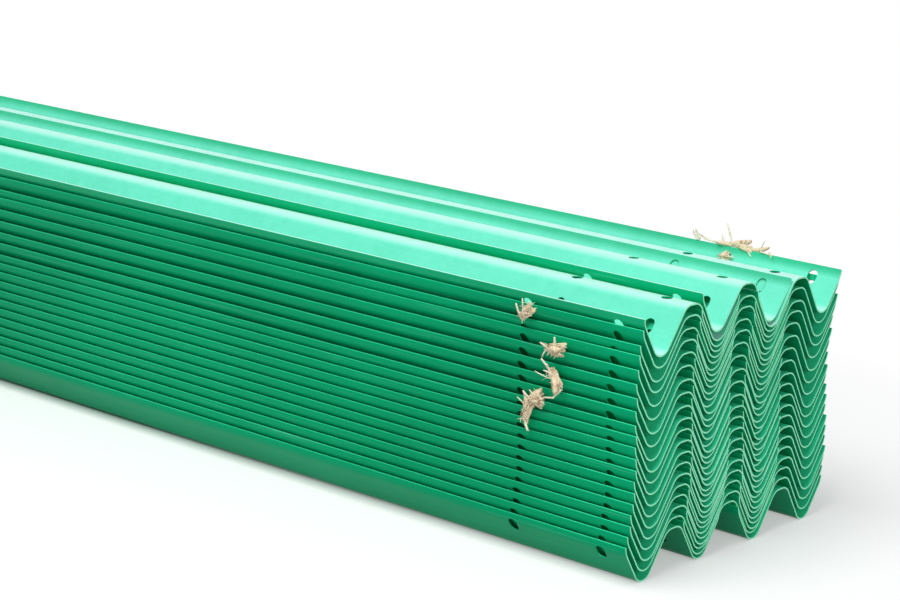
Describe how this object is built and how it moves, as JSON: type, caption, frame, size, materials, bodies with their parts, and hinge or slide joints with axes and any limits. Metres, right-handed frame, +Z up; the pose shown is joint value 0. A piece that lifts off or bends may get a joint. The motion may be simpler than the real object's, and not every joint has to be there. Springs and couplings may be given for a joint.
{
  "type": "bundle of w-beam highway guardrail beams",
  "caption": "Stacked bundle of green coated two-wave highway guardrail beams, nested side by side with backs up, packed with wads of straw.",
  "frame": {"origin": "centre of the bundle at floor level", "axes": "+Y along the beams, towards the far end of the picture; +X across them, away from the picture's front side; +Z up"},
  "size_m": [0.7038, 4.3348, 0.5229],
  "materials": {
    "green_coat": "semi-gloss green polyester coat on galvanised steel",
    "straw": "matte dry straw"
  },
  "bodies": {
    "root": {"row_01_outer_beams": "green_coat", "row_01_middle_beam": "green_coat", "row_02_outer_beams": "green_coat", "row_02_middle_beam": "green_coat", "row_03_outer_beams": "green_coat", "row_03_middle_beam": "green_coat", "row_04_outer_beams": "green_coat", "row_04_middle_beam": "green_coat", "row_05_outer_beams": "green_coat", "row_05_middle_beam": "green_coat", "row_06_outer_beams": "green_coat", "row_06_middle_beam": "green_coat", "row_07_outer_beams": "green_coat", "row_07_middle_beam": "green_coat", "row_08_outer_beams": "green_coat", "row_08_middle_beam": "green_coat", "row_09_outer_beams": "green_coat", "row_09_middle_beam": "green_coat", "row_10_outer_beams": "green_coat", "row_10_middle_beam": "green_coat", "row_11_outer_beams": "green_coat", "row_11_middle_beam": "green_coat", "row_12_outer_beams": "green_coat", "row_12_middle_beam": "green_coat", "row_13_outer_beams": "green_coat", "row_13_middle_beam": "green_coat", "row_14_outer_beams": "green_coat", "row_14_middle_beam": "green_coat", "row_15_outer_beams": "green_coat", "row_15_middle_beam": "green_coat", "row_16_outer_beams": "green_coat", "row_16_middle_beam": "green_coat", "row_17_outer_beams": "green_coat", "row_17_middle_beam": "green_coat", "row_18_outer_beams": "green_coat", "row_18_middle_beam": "green_coat", "row_19_outer_beams": "green_coat", "row_19_middle_beam": "green_coat", "row_20_outer_beams": "green_coat", "row_20_middle_beam": "green_coat", "straw_front_near": "straw", "straw_back_near": "straw", "straw_front_far": "straw", "straw_back_far": "straw"}
  },
  "joints": []
}
